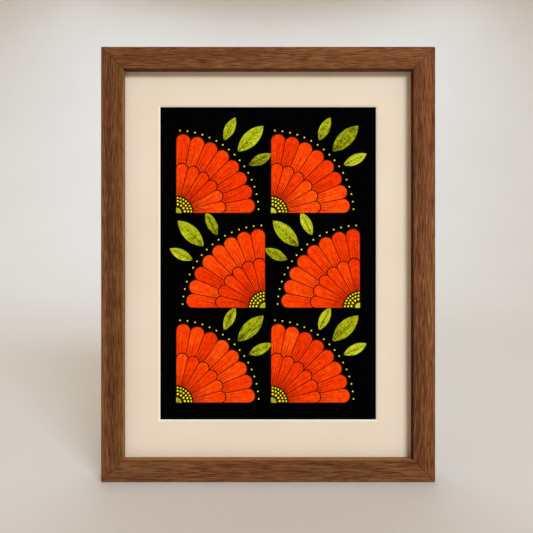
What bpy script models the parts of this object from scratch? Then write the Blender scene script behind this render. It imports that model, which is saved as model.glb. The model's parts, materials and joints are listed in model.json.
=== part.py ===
"""Framed print: mitred walnut rails around glazing, a window mat, a print and its backing.

Metres, +Z up. The picture faces -Y and hangs upright. The world origin is the spot in the
hanger's middle notch where a wall nail bears.
"""

import math
from collections import namedtuple

import bmesh
import bpy
from mathutils import Matrix, Vector

MM = 0.001
GAP = 0.3 * MM  # left between pieces that rest on or in each other
WELD = 0.001 * MM

# Rails: the section is a face, a lip that overlaps the sheets, a ledge and a rim behind it
SIGHT_WIDTH = 290 * MM
SIGHT_HEIGHT = 391 * MM
FACE_WIDTH = 22 * MM
RAIL_DEPTH = 30 * MM
LIP_DEPTH = 10 * MM
REBATE_WIDTH = 5.5 * MM
RIM_WIDTH = 7.5 * MM
EASED_EDGE = 0.8 * MM
HIDDEN_EDGE_SHARE = 0.35  # how much of that easing the hidden edges get
PLATE_EDGE = 0.15 * MM  # on the edges of the steel plates

# Sheets in the rebate, from the front to the back
SHEET_PLAY = 0.5 * MM  # between a sheet's edge and the rebate wall
GLAZING_THICKNESS = 2 * MM
MAT_THICKNESS = 1.4 * MM
PRINT_THICKNESS = 0.3 * MM
MOUNT_BOARD_THICKNESS = 5 * MM
BACKING_THICKNESS = 3 * MM
PRINT_WIDTH = 230 * MM
PRINT_HEIGHT = 330 * MM
WINDOW_WIDTH = 219.6 * MM  # where the bevel meets the print
WINDOW_HEIGHT = 318.9 * MM
WINDOW_RISE = 1.1 * MM  # the window's centre above the frame's centre

# Turn buttons and their screws
BUTTON_WIDTH = 8 * MM
BUTTON_REACH = 16 * MM  # from the screw to the tip
BUTTON_THICKNESS = 1 * MM
BUTTON_TIP = 3 * MM  # length of the bent finger tip
BUTTON_TIP_SLOPE = 0.5
BUTTON_INSET = 12 * MM  # from the frame's outer edge to the screw
SIDE_SPACING = 125 * MM  # from the middle of a side rail to each of its buttons
END_SPACING = 95 * MM  # the same on the top and bottom rails
SHANK_RADIUS = 1.4 * MM
SHANK_LENGTH = 10 * MM
SCREW_TIP = 3 * MM
SCREW_HEAD_RADIUS = 3 * MM
SCREW_HEAD_HEIGHT = 1.8 * MM
RECESS_ARM = 1.5 * MM
RECESS_HALF_WIDTH = 0.35 * MM
RECESS_DEPTH = 1.0 * MM

# Hanger: a strip with flat ends and a raised, toothed middle
HANGER_LENGTH = 50 * MM
HANGER_HEIGHT = 8.4 * MM
HANGER_THICKNESS = 1 * MM
HANGER_RISE = 2.2 * MM
HANGER_RAISED_HALF = 13 * MM
HANGER_SLOPE_LENGTH = 3 * MM
HANGER_SCREW_X = 20.5 * MM
HANGER_RIM_CLEARANCE = 0.4 * MM
TOOTH_PITCH = 3 * MM
TOOTH_DEPTH = 1.6 * MM
TEETH_EACH_SIDE = 3

# Corner joiners: V-shaped nails that cross the mitres
JOINER_APEX = 15 * MM  # from both outer edges
JOINER_ARM = 5 * MM
JOINER_THICKNESS = 0.5 * MM
JOINER_HEIGHT = 8 * MM

# Wall bumpers
BUMPER_RADIUS = 3.2 * MM
BUMPER_FACE_RADIUS = 2.5 * MM
BUMPER_THICKNESS = 1.6 * MM
BUMPER_ALONG = 140 * MM  # from the middle of the bottom rail

ROUND_STEPS = 20
ARC_STEPS = 10
CROWN_STEPS = 4  # from the top of a screw's head to its edge
SMOOTH_UP_TO = math.radians(35)  # edges of turned pieces that bend more stay sharp

# Worked out from the sizes above
WIDTH = SIGHT_WIDTH + 2 * FACE_WIDTH
HEIGHT = SIGHT_HEIGHT + 2 * FACE_WIDTH
REBATE_WALL = FACE_WIDTH - REBATE_WIDTH
SHEET_WIDTH = WIDTH - 2 * (REBATE_WALL + SHEET_PLAY)
SHEET_HEIGHT = HEIGHT - 2 * (REBATE_WALL + SHEET_PLAY)
GLAZING_FRONT = LIP_DEPTH + GAP
MAT_FRONT = GLAZING_FRONT + GLAZING_THICKNESS + GAP
PRINT_FRONT = MAT_FRONT + MAT_THICKNESS + GAP
MOUNT_BOARD_FRONT = PRINT_FRONT + PRINT_THICKNESS + GAP
BACKING_FRONT = MOUNT_BOARD_FRONT + MOUNT_BOARD_THICKNESS + GAP
LEDGE_DEPTH = BACKING_FRONT + BACKING_THICKNESS
PLATE_SEAT = LEDGE_DEPTH + GAP  # where the buttons and the hanger lie
HEAD_SEAT = PLATE_SEAT + BUTTON_THICKNESS + GAP
HOLE_RADIUS = SHANK_RADIUS + GAP
HANGER_TOP = RIM_WIDTH + HANGER_RIM_CLEARANCE
NOTCH_BELOW_TOP = HANGER_TOP + HANGER_HEIGHT - TOOTH_DEPTH
NOTCH_DEPTH = PLATE_SEAT + HANGER_RISE + HANGER_THICKNESS / 2

# One side of the frame. angle turns the top side's place about +Y, reach is from the frame's
# centre to the side's outer edge, and ends names the low and the high end along the rail.
Side = namedtuple("Side", "name angle reach length spacing ends")
SIDES = (
    Side("top", 0, HEIGHT / 2, WIDTH, END_SPACING, ("left", "right")),
    Side("right", 90, WIDTH / 2, HEIGHT, SIDE_SPACING, ("upper", "lower")),
    Side("bottom", 180, HEIGHT / 2, WIDTH, END_SPACING, ("right", "left")),
    Side("left", 270, WIDTH / 2, HEIGHT, SIDE_SPACING, ("lower", "upper")),
)


def empty_scene():
    """Removes every object and collection, and makes the ones for the parts and the cutters."""
    for item in list(bpy.data.objects):
        bpy.data.objects.remove(item)
    for group in list(bpy.data.collections):
        bpy.data.collections.remove(group)
    groups = []
    for name in ("framed_print", "cutters"):
        group = bpy.data.collections.new(name)
        bpy.context.scene.collection.children.link(group)
        groups.append(group)
    return groups


PARTS, CUTTERS = empty_scene()


def finish(name, colour, roughness, metallic=0.0, alpha=1.0):
    """A Principled material."""
    material = bpy.data.materials.new(name)
    material.use_nodes = True
    shader = material.node_tree.nodes["Principled BSDF"]
    shader.inputs["Base Color"].default_value = (*colour, 1)
    shader.inputs["Roughness"].default_value = roughness
    shader.inputs["Metallic"].default_value = metallic
    shader.inputs["Alpha"].default_value = alpha
    return material


WALNUT = finish("walnut", (0.155, 0.065, 0.027), 0.55)
GLASS = finish("clear_glazing", (0.9, 0.95, 0.93), 0.05, alpha=0.25)
MAT_BOARD = finish("mat_board", (0.8, 0.68, 0.5), 0.9)
PRINT_PAPER = finish("print_paper", (0.004, 0.004, 0.004), 0.7)
FOAM_BOARD = finish("foam_board", (0.85, 0.85, 0.83), 0.9)
HARDBOARD = finish("hardboard", (0.24, 0.13, 0.065), 0.8)
ZINC = finish("zinc_plate", (0.62, 0.61, 0.58), 0.35, metallic=1)
STEEL = finish("screw_steel", (0.5, 0.5, 0.5), 0.3, metallic=1)
JOINER_STEEL = finish("joiner_steel", (0.35, 0.36, 0.38), 0.4, metallic=1)
BRASS = finish("brass_plate", (0.72, 0.52, 0.22), 0.35, metallic=1)
BUMPER_RUBBER = finish("bumper_rubber", (0.6, 0.6, 0.58), 0.4)


def add_piece(name, mesh, material=None, group=PARTS):
    """An object of a mesh, in a collection."""
    piece = bpy.data.objects.new(name, mesh)
    group.objects.link(piece)
    if material and not mesh.materials:
        mesh.materials.append(material)
    return piece


def add_cutter(name, mesh):
    """A shape that is taken away from a part."""
    cutter = add_piece(name, mesh, group=CUTTERS)
    cutter.hide_render = True
    cutter.display_type = "WIRE"
    return cutter


def cut(piece, cutter):
    """Takes the cutter's shape out of the piece."""
    boolean = piece.modifiers.new(cutter.name, "BOOLEAN")
    boolean.operation = "DIFFERENCE"
    boolean.solver = "EXACT"
    boolean.object = cutter


def ease_edges(piece, width, segments=1, limit="ANGLE"):
    """Rounds the piece's sharp edges or, by WEIGHT, those that have a bevel weight."""
    bevel = piece.modifiers.new("eased_edges", "BEVEL")
    bevel.width = width
    bevel.segments = segments
    bevel.limit_method = limit


def evaluated_mesh(piece):
    """The mesh of an object as its modifiers leave it."""
    bpy.context.view_layer.update()
    graph = bpy.context.evaluated_depsgraph_get()
    return bpy.data.meshes.new_from_object(piece.evaluated_get(graph))


def settled_mesh(piece):
    """The piece's final mesh, for copies of it. The piece and its cutters are removed."""
    mesh = evaluated_mesh(piece)
    for modifier in piece.modifiers:
        if modifier.type == "BOOLEAN":
            bpy.data.objects.remove(modifier.object)
    bpy.data.objects.remove(piece)
    return mesh


def outline_mesh(name, outlines, thickness):
    """A flat shape in XY, centred on Z = 0: the first outline is filled, the rest are holes."""
    curve = bpy.data.curves.new(name, "CURVE")
    curve.dimensions = "2D"
    curve.fill_mode = "BOTH"
    curve.extrude = thickness / 2
    for outline in outlines:
        spline = curve.splines.new("POLY")
        spline.points.add(len(outline) - 1)
        for point, (x, y) in zip(spline.points, outline):
            point.co = (x, y, 0, 1)
        spline.use_cyclic_u = True
    shape = add_piece(name, curve)
    mesh = evaluated_mesh(shape)
    bpy.data.objects.remove(shape)
    solid = bmesh.new()
    solid.from_mesh(mesh)
    bmesh.ops.remove_doubles(solid, verts=solid.verts, dist=WELD)
    bmesh.ops.recalc_face_normals(solid, faces=solid.faces)
    solid.to_mesh(mesh)
    solid.free()
    mesh.shade_flat()
    return mesh


def flat_on_wall(mesh, depth=0.0):
    """Turns a shape drawn in XY to lie in XZ as seen from the front, at a depth along +Y."""
    mesh.transform(Matrix.Translation((0, depth, 0)) @ Matrix.Rotation(math.pi / 2, 4, "X"))
    return mesh


def arc(centre, radius, start, end, steps=ARC_STEPS):
    """Points on an arc between two angles in degrees."""
    points = []
    for i in range(steps + 1):
        angle = math.radians(start + (end - start) * i / steps)
        points.append(
            (centre[0] + radius * math.cos(angle), centre[1] + radius * math.sin(angle))
        )
    return points


def turned(name, profile):
    """A shape turned about +Z from a profile of (radius, z) points, from its top down."""
    mesh = bpy.data.meshes.new(name)
    edges = [(i, i + 1) for i in range(len(profile) - 1)]
    mesh.from_pydata([(radius, 0, z) for radius, z in profile], edges, [])
    piece = add_piece(name, mesh)
    screw = piece.modifiers.new("turned", "SCREW")
    screw.steps = ROUND_STEPS
    screw.render_steps = ROUND_STEPS
    screw.use_merge_vertices = True
    screw.merge_threshold = WELD
    return piece


def finish_round(piece):
    """The final mesh of a turned piece, its top turned to +Y and its round faces smooth."""
    mesh = settled_mesh(piece)
    mesh.transform(Matrix.Rotation(-math.pi / 2, 4, "X"))
    mesh.shade_smooth()
    mesh.set_sharp_from_angle(angle=SMOOTH_UP_TO)
    return mesh


def place(piece, parent, side, along=0.0, inward=0.0, depth=0.0):
    """Puts a piece at a point of one side of the frame, turned with that side."""
    angle = math.radians(side.angle)
    outward = Vector((math.sin(angle), 0, math.cos(angle)))
    length = Vector((math.cos(angle), 0, -math.sin(angle)))
    piece.parent = parent
    piece.location = outward * (side.reach - inward) + length * along + Vector((0, depth, 0))
    piece.rotation_euler = (0, angle, 0)
    return piece


def rail_section():
    """The rail's section as (depth, height) points, with the outer front edge at the origin."""
    return (
        (0, 0),
        (0, -FACE_WIDTH),
        (LIP_DEPTH, -FACE_WIDTH),
        (LIP_DEPTH, -REBATE_WALL),
        (LEDGE_DEPTH, -REBATE_WALL),
        (LEDGE_DEPTH, -RIM_WIDTH),
        (RAIL_DEPTH, -RIM_WIDTH),
        (RAIL_DEPTH, 0),
    )


def rail_mesh(length):
    """A rail along X with its outer side up: the section carried along, and mitred ends.

    Its lengthwise edges get bevel weights: full on the front and outer sides, less elsewhere.
    """
    mesh = outline_mesh("rail", [rail_section()], length)
    turn = Matrix(((0, 0, 1), (1, 0, 0), (0, 1, 0))).to_4x4()
    mesh.transform(turn)
    solid = bmesh.new()
    solid.from_mesh(mesh)
    for end in (-1, 1):
        mitre = Vector((end * (length / 2 - GAP / math.sqrt(2)), 0, 0))
        everything = [*solid.verts, *solid.edges, *solid.faces]
        bmesh.ops.bisect_plane(
            solid,
            geom=everything,
            plane_co=mitre,
            plane_no=(end, 0, -1),
            dist=WELD,
            clear_outer=True,
        )
        open_edges = [edge for edge in solid.edges if edge.is_boundary]
        bmesh.ops.edgeloop_fill(solid, edges=open_edges)
    bmesh.ops.recalc_face_normals(solid, faces=solid.faces)
    weight = solid.edges.layers.float.new("bevel_weight_edge")
    for edge in solid.edges:
        start, stop = (vert.co for vert in edge.verts)
        lengthwise = (stop - start).yz.length < WELD
        if lengthwise and edge.is_convex:
            seen = min(start.y, -start.z) < WELD
            edge[weight] = 1.0 if seen else HIDDEN_EDGE_SHARE
    solid.to_mesh(mesh)
    solid.free()
    return mesh


def pilot_hole(parent, side, along, inward):
    """A cutter for a screw's hole in a rail, down from the ledge."""
    mesh = bpy.data.meshes.new("pilot")
    solid = bmesh.new()
    depth = SHANK_LENGTH + GAP
    bmesh.ops.create_cone(
        solid,
        cap_ends=True,
        segments=ROUND_STEPS,
        radius1=HOLE_RADIUS,
        radius2=HOLE_RADIUS,
        depth=depth,
    )
    solid.to_mesh(mesh)
    solid.free()
    flat_on_wall(mesh, HEAD_SEAT - depth / 2)
    return place(add_cutter("pilot", mesh), parent, side, along, inward)


def joiner_outline(grow):
    """The corner joiner's V, drawn from the frame's outer corner, all its sides grown."""
    outer = -(JOINER_APEX - JOINER_THICKNESS) + grow
    inner = -JOINER_APEX - grow
    tip = -(JOINER_APEX - JOINER_ARM) + grow
    return (
        (inner, inner),
        (tip, inner),
        (tip, outer),
        (outer, outer),
        (outer, tip),
        (inner, tip),
    )


def joiner_mesh(grow, back):
    """A joiner, or with grow the slot for one, that ends at a depth of back."""
    front = LEDGE_DEPTH - GAP - JOINER_HEIGHT - grow
    mesh = outline_mesh("corner_joiner", [joiner_outline(grow)], back - front)
    return flat_on_wall(mesh, (front + back) / 2)


def add_frame(centre):
    """Four mitred rails, and the joiners that cross the mitres."""
    rails = {}
    for side in SIDES:
        rail = add_piece(f"rail_{side.name}", rail_mesh(side.length), WALNUT)
        ease_edges(rail, EASED_EDGE, segments=3, limit="WEIGHT")
        rails[side.name] = place(rail, centre, side)
    joiner = joiner_mesh(0, LEDGE_DEPTH - GAP)
    slot = joiner_mesh(GAP, LEDGE_DEPTH + GAP)
    for side, following in zip(SIDES, SIDES[1:] + SIDES[:1]):
        corner = f"{side.name}_{following.name}"
        nail = add_piece(f"corner_joiner_{corner}", joiner, JOINER_STEEL)
        place(nail, centre, side, along=side.length / 2)
        slot_cutter = add_cutter(f"joiner_slot_{corner}", slot)
        place(slot_cutter, centre, side, along=side.length / 2)
        cut(rails[side.name], slot_cutter)
        cut(rails[following.name], slot_cutter)
    return rails


def sheet_mesh(name, width, height, thickness):
    """A flat rectangular sheet in XZ, from its front face at Y = 0."""
    mesh = bpy.data.meshes.new(name)
    solid = bmesh.new()
    bmesh.ops.create_cube(solid, size=1)
    bmesh.ops.scale(solid, vec=(width, thickness, height), verts=solid.verts)
    bmesh.ops.translate(solid, vec=(0, thickness / 2, 0), verts=solid.verts)
    solid.to_mesh(mesh)
    solid.free()
    return mesh


def add_sheet(centre, name, size, front, material, rise=0.0):
    """A sheet of (width, height, thickness) with its front face at a depth of front."""
    piece = add_piece(name, sheet_mesh(name, *size), material)
    piece.parent = centre
    piece.location = (0, front, rise)
    return piece


def window_cutter(centre):
    """The mat window: it widens towards the front at 45 degrees."""
    over = GAP  # runs past both faces of the mat
    mesh = sheet_mesh(
        "mat_window", WINDOW_WIDTH, WINDOW_HEIGHT, MAT_THICKNESS + 2 * over
    )
    for vert in mesh.vertices:
        before_back = MAT_THICKNESS + over - vert.co.y
        vert.co.x += math.copysign(before_back, vert.co.x)
        vert.co.z += math.copysign(before_back, vert.co.z)
    cutter = add_cutter("mat_window", mesh)
    cutter.parent = centre
    cutter.location = (0, MAT_FRONT - over, WINDOW_RISE)
    return cutter


def add_picture(centre):
    """The sheets in the rebate, from the glazing to the backing board."""
    full = (SHEET_WIDTH, SHEET_HEIGHT)
    add_sheet(centre, "glazing", (*full, GLAZING_THICKNESS), GLAZING_FRONT, GLASS)
    mat = add_sheet(centre, "mat_board", (*full, MAT_THICKNESS), MAT_FRONT, MAT_BOARD)
    cut(mat, window_cutter(centre))
    paper = (PRINT_WIDTH, PRINT_HEIGHT, PRINT_THICKNESS)
    add_sheet(centre, "print", paper, PRINT_FRONT, PRINT_PAPER, rise=WINDOW_RISE)
    foam = (*full, MOUNT_BOARD_THICKNESS)
    add_sheet(centre, "mount_board", foam, MOUNT_BOARD_FRONT, FOAM_BOARD)
    hardboard = (*full, BACKING_THICKNESS)
    add_sheet(centre, "backing_board", hardboard, BACKING_FRONT, HARDBOARD)


def screw_mesh():
    """A pan-head screw along Y, its head's underside at Y = 0 and its head towards +Y."""
    crown = arc((0, 0), 1, 90, 0, steps=CROWN_STEPS)
    head = [(x * SCREW_HEAD_RADIUS, y * SCREW_HEAD_HEIGHT) for x, y in crown]
    shank = [
        (SHANK_RADIUS, 0),
        (SHANK_RADIUS, SCREW_TIP - SHANK_LENGTH),
        (0, -SHANK_LENGTH),
    ]
    head[0] = (0, SCREW_HEAD_HEIGHT)
    screw = turned("screw", head + shank)
    inner, arm = RECESS_HALF_WIDTH, RECESS_ARM
    quarter = ((inner, inner), (inner, arm), (-inner, arm))
    cross = []
    for turn in range(4):
        spin = Matrix.Rotation(turn * math.pi / 2, 2)
        cross += [tuple(spin @ Vector(point)) for point in quarter]
    recess = add_cutter("recess", outline_mesh("recess", [cross], 2 * RECESS_DEPTH))
    recess.location.z = SCREW_HEAD_HEIGHT
    cut(screw, recess)
    return finish_round(screw)


def button_mesh():
    """A turn button about its screw at the origin, its tongue along -Z and its tip bent back."""
    radius = BUTTON_WIDTH / 2
    tip_centre = BUTTON_REACH - radius
    outline = arc((0, 0), radius, 0, 180) + arc((0, -tip_centre), radius, 180, 360)
    hole = arc((0, 0), HOLE_RADIUS, 0, 360 - 360 / ROUND_STEPS, steps=ROUND_STEPS - 1)
    mesh = flat_on_wall(
        outline_mesh("turn_button", [outline, hole], BUTTON_THICKNESS), BUTTON_THICKNESS / 2
    )
    fold = BUTTON_TIP - BUTTON_REACH
    solid = bmesh.new()
    solid.from_mesh(mesh)
    everything = [*solid.verts, *solid.edges, *solid.faces]
    bmesh.ops.bisect_plane(
        solid, geom=everything, plane_co=(0, 0, fold), plane_no=(0, 0, 1), dist=WELD
    )
    for vert in solid.verts:
        vert.co.y += max(fold - vert.co.z, 0) * BUTTON_TIP_SLOPE
    solid.to_mesh(mesh)
    solid.free()
    plate = add_piece("turn_button", mesh)
    ease_edges(plate, PLATE_EDGE)
    return settled_mesh(plate)


def add_buttons(centre, rails, screw):
    """Two turn buttons with their screws on the ledge of each rail."""
    button = button_mesh()
    for side in SIDES:
        for end, sign in zip(side.ends, (-1, 1)):
            spot = (centre, side, sign * side.spacing, BUTTON_INSET)
            plate = add_piece(f"turn_button_{side.name}_{end}", button, ZINC)
            place(plate, *spot, PLATE_SEAT)
            holder = add_piece(f"button_screw_{side.name}_{end}", screw, STEEL)
            place(holder, *spot, HEAD_SEAT)
            cut(rails[side.name], pilot_hole(*spot))


def hanger_section():
    """The strip's side view as (x, depth) points from its seat: flat ends, raised middle."""
    foot = HANGER_LENGTH / 2
    bend = HANGER_RAISED_HALF + HANGER_SLOPE_LENGTH
    under = [
        (-foot, 0),
        (-bend, 0),
        (-HANGER_RAISED_HALF, HANGER_RISE),
        (HANGER_RAISED_HALF, HANGER_RISE),
        (bend, 0),
        (foot, 0),
    ]
    over = [(x, depth + HANGER_THICKNESS) for x, depth in reversed(under)]
    return under + over


def teeth_outline():
    """The space between the teeth, below the strip's middle, from the strip's lower edge."""
    points = []
    for i in range(-TEETH_EACH_SIDE, TEETH_EACH_SIDE + 1):
        points.append(((i - 0.5) * TOOTH_PITCH, -GAP))
        points.append((i * TOOTH_PITCH, TOOTH_DEPTH))
    points.append(((TEETH_EACH_SIDE + 0.5) * TOOTH_PITCH, -GAP))
    return points


def add_hanger(centre, rails, screw):
    """The toothed hanger and its two screws, on the ledge of the top rail."""
    top = SIDES[0]
    middle = HANGER_TOP + HANGER_HEIGHT / 2
    mesh = outline_mesh("hanger", [hanger_section()], HANGER_HEIGHT)
    hanger = place(add_piece("hanger", mesh, BRASS), centre, top, 0, middle, PLATE_SEAT)
    ease_edges(hanger, PLATE_EDGE)
    reach = 2 * (HANGER_RISE + HANGER_THICKNESS)
    teeth = flat_on_wall(outline_mesh("teeth", [teeth_outline()], 2 * reach))
    lower_edge = HANGER_TOP + HANGER_HEIGHT
    cut(hanger, place(add_cutter("teeth", teeth), centre, top, 0, lower_edge, PLATE_SEAT))
    for end, sign in zip(top.ends, (-1, 1)):
        spot = (centre, top, sign * HANGER_SCREW_X, middle)
        holder = add_piece(f"hanger_screw_{end}", screw, STEEL)
        place(holder, *spot, HEAD_SEAT)
        hole = pilot_hole(*spot)
        cut(rails["top"], hole)
        cut(hanger, hole)


def add_bumpers(centre):
    """Two round bumpers on the rim of the bottom rail."""
    bottom = SIDES[2]
    profile = (
        (0, BUMPER_THICKNESS),
        (BUMPER_FACE_RADIUS, BUMPER_THICKNESS),
        (BUMPER_RADIUS, BUMPER_THICKNESS - (BUMPER_RADIUS - BUMPER_FACE_RADIUS)),
        (BUMPER_RADIUS, 0),
        (0, 0),
    )
    mesh = finish_round(turned("bumper", profile))
    for end, sign in zip(bottom.ends, (-1, 1)):
        bumper = add_piece(f"wall_bumper_{end}", mesh, BUMPER_RUBBER)
        place(bumper, centre, bottom, sign * BUMPER_ALONG, RIM_WIDTH / 2, RAIL_DEPTH + GAP)


def main():
    centre = bpy.data.objects.new("front_centre", None)
    PARTS.objects.link(centre)
    centre.location = (0, -NOTCH_DEPTH, NOTCH_BELOW_TOP - HEIGHT / 2)
    rails = add_frame(centre)
    add_picture(centre)
    screw = screw_mesh()
    add_buttons(centre, rails, screw)
    add_hanger(centre, rails, screw)
    add_bumpers(centre)


main()
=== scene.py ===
"""Looks of the framed print: walnut rails, clear glazing, a bevelled mat and a block print behind it.

Everything is in metres in the frame's own place: +Z up, the picture faces -Y, and the origin is
where a wall nail bears in the hanger. Sizes come from the frame's nodes or are named in
millimetres below. Shapes are worked out with numpy as whole arrays.
"""

import json
import math

import bpy
import numpy as np
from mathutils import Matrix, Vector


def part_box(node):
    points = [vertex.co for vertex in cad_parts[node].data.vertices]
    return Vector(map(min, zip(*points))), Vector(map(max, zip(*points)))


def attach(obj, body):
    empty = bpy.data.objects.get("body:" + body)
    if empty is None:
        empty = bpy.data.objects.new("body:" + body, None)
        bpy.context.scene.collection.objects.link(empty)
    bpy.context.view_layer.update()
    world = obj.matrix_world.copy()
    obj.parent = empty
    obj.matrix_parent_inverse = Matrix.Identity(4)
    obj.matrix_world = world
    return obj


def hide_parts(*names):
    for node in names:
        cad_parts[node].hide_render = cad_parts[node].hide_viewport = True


MM = 0.001
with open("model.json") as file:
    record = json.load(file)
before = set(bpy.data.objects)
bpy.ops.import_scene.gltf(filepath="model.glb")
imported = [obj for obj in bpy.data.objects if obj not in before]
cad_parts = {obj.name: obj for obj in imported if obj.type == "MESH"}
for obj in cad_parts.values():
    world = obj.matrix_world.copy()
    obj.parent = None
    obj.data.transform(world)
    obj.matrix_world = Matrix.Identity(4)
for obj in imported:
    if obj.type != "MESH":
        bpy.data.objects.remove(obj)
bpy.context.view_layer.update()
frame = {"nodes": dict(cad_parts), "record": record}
NODES = frame["nodes"]
BODY = {node: body for body, nodes in frame["record"]["behaviour"]["bodies"].items() for node in nodes}

# Camera: level with the picture's middle, a little left of and below it
CAMERA_DISTANCE = 592 * MM  # from the rails' front faces
CAMERA_LEFT = 1.65 * MM
CAMERA_BELOW = 2.1 * MM
LENS = 40.05
SENSOR = 36.0

# Mat board
WINDOW_WIDTH = 220.3 * MM  # at the mat's back
WINDOW_HEIGHT = 319.2 * MM
WINDOW_RISE = 1.15 * MM

# Block print: a quilt of fan blocks, two across and three down
TILE = 97 * MM
COLUMNS = 2
ROWS = 3
HUB_INSET = 3 * MM
OUTER_RIBS = 8
OUTER_FROM = 40 * MM
OUTER_REACH = 81 * MM
INNER_RIBS = 6
INNER_FROM = 13 * MM
INNER_REACH = 51 * MM
HUB_REACH = 18 * MM
HUB_CORE = 5.5 * MM
LINE = 0.38 * MM  # half the width of the dark lines between ribs
VEIN = 0.32 * MM  # half the width of a line drawn on a rib or a leaf, where it starts
DOT = 2.2 * MM  # diameter
BORDER_DOTS = 17  # along the outside of a fan
LEAF_FROM = 89 * MM  # from the hub to the leaves' feet
INK = 0.012 * MM  # thickness of one layer of ink
FINEST = 0.03 * MM  # half the width of a stroke's finest point

# Fittings on the back
SIDE_TURN = {"top": 0.0, "right": 90.0, "bottom": 180.0, "left": 270.0}
BUTTON_RADIUS = 4 * MM
BUTTON_REACH = 16 * MM
BUTTON_THICKNESS = 1 * MM
BUTTON_TIP = 3 * MM
BUTTON_TIP_SLOPE = 0.5
SCREW_HOLE = 1.7 * MM
HEAD_RADIUS = 3 * MM
HEAD_HEIGHT = 1.75 * MM
SHANK_RADIUS = 1.4 * MM
SHANK_ROOT = 1.05 * MM
SHANK_LENGTH = 10 * MM
THREAD_PITCH = 1.2 * MM
BUMPER_RADIUS = 3.2 * MM

QUARTER = math.pi / 2


def srgb(red, green, blue):
    """A colour from 0 to 255 in each channel, as the linear colour a shader takes."""
    share = np.array([red, green, blue]) / 255
    linear = np.where(share <= 0.04045, share / 12.92, ((share + 0.055) / 1.055) ** 2.4)
    return (*linear.tolist(), 1.0)


# Shapes


def closed_skins(rings, looped=False):
    """Points and faces of closed skins over rings of points.

    rings[k, i] is ring i of skin k, a closed loop. Each ring is joined to the next by quads.
    A looped skin joins its last ring to its first. Another has both ends closed by triangles
    that run to a pole, the mean of the end ring.
    """
    skins, rows, around, _ = rings.shape
    corners = np.arange(rows * around).reshape(rows, around)
    beside = np.roll(corners, -1, axis=1)
    if looped:
        after, after_beside = np.roll(corners, -1, axis=0), np.roll(beside, -1, axis=0)
        quads = np.stack([corners, after, after_beside, beside], axis=-1).reshape(-1, 4)
        points, caps = rings.reshape(skins, -1, 3), np.empty((0, 3), int)
    else:
        quads = [corners[:-1], corners[1:], beside[1:], beside[:-1]]
        quads = np.stack(quads, axis=-1).reshape(-1, 4)
        poles = rings[:, [0, -1]].mean(axis=2)
        points = np.concatenate([rings.reshape(skins, -1, 3), poles], axis=1)
        first, last = np.full(around, rows * around), np.full(around, rows * around + 1)
        start = np.stack([first, corners[0], beside[0]], axis=-1)
        end = np.stack([last, beside[-1], corners[-1]], axis=-1)
        caps = np.concatenate([start, end])
    offsets = np.arange(skins)[:, None, None] * points.shape[1]
    quads = (quads[None] + offsets).reshape(-1, 4)
    caps = (caps[None] + offsets).reshape(-1, 3)
    return points.reshape(-1, 3), quads.tolist() + caps.tolist()


def add_piece(name, points, faces, materials, body, smooth=None):
    """A mesh object of computed points and faces, riding on a body of the frame.

    smooth is the angle in degrees over which an edge stays sharp; without it all faces are flat.
    """
    mesh = bpy.data.meshes.new(name)
    mesh.from_pydata(points.tolist(), [], faces)
    for material in materials:
        mesh.materials.append(material)
    if smooth:
        mesh.shade_smooth()
        mesh.set_sharp_from_angle(angle=math.radians(smooth))
    piece = bpy.data.objects.new(name, mesh)
    bpy.context.scene.collection.objects.link(piece)
    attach(piece, body)
    return piece


def turned_about_y(spot, radius, depth, around):
    """Rings turned about an axis along Y through a spot (x, y, z), from the back forwards.

    radius and depth hold a value for each row, or for each row and each step of the turn.
    """
    turn = np.linspace(0, 2 * np.pi, around, endpoint=False)
    radius, depth = np.broadcast_arrays(np.atleast_2d(radius.T).T, np.atleast_2d(depth.T).T)
    radius, depth = (np.broadcast_to(values, (len(values), around)) for values in (radius, depth))
    rings = [spot[0] + radius * np.sin(turn), spot[1] + depth, spot[2] + radius * np.cos(turn)]
    return np.stack(rings, axis=-1)[None]


# Material parts


def new_finish(name, roughness, metallic=0.0, shine=0.5):
    """A Principled material, with its node tree and its shader."""
    material = bpy.data.materials.new(name)
    material.use_nodes = True
    tree = material.node_tree
    shader = tree.nodes["Principled BSDF"]
    shader.inputs["Roughness"].default_value = roughness
    shader.inputs["Metallic"].default_value = metallic
    shader.inputs["Specular IOR Level"].default_value = shine
    return material, tree, shader


def add_node(tree, kind, **settings):
    """A node of a kind, with its properties set."""
    node = tree.nodes.new("ShaderNode" + kind)
    for name, value in settings.items():
        setattr(node, name, value)
    return node


def plug(tree, socket, value):
    """Sets a socket to a number or colour, or links it to another node's output."""
    if isinstance(value, bpy.types.NodeSocket):
        tree.links.new(value, socket)
    else:
        socket.default_value = value


def placed(tree, scale, location=(0, 0, 0), source="Object", rotation=(0, 0, 0)):
    """Object or UV coordinates, scaled to repeats per metre or per unit."""
    coordinates = add_node(tree, "TexCoord")
    mapping = add_node(tree, "Mapping")
    tree.links.new(coordinates.outputs[source], mapping.inputs["Vector"])
    mapping.inputs["Scale"].default_value = scale
    mapping.inputs["Location"].default_value = location
    mapping.inputs["Rotation"].default_value = rotation
    return mapping.outputs["Vector"]


def grain_noise(tree, vector, detail=3.0, roughness=0.6, distortion=0.0):
    """Noise of one repeat to each unit of its vector, from 0 to 1."""
    noise = add_node(tree, "TexNoise")
    tree.links.new(vector, noise.inputs["Vector"])
    noise.inputs["Scale"].default_value = 1.0
    noise.inputs["Detail"].default_value = detail
    noise.inputs["Roughness"].default_value = roughness
    noise.inputs["Distortion"].default_value = distortion
    return noise.outputs["Fac"]


def maths(tree, operation, first, second=0.0, third=0.0):
    """The outcome of a sum on numbers or outputs."""
    node = add_node(tree, "Math", operation=operation)
    for socket, value in zip(node.inputs, (first, second, third)):
        plug(tree, socket, value)
    return node.outputs[0]


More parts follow.
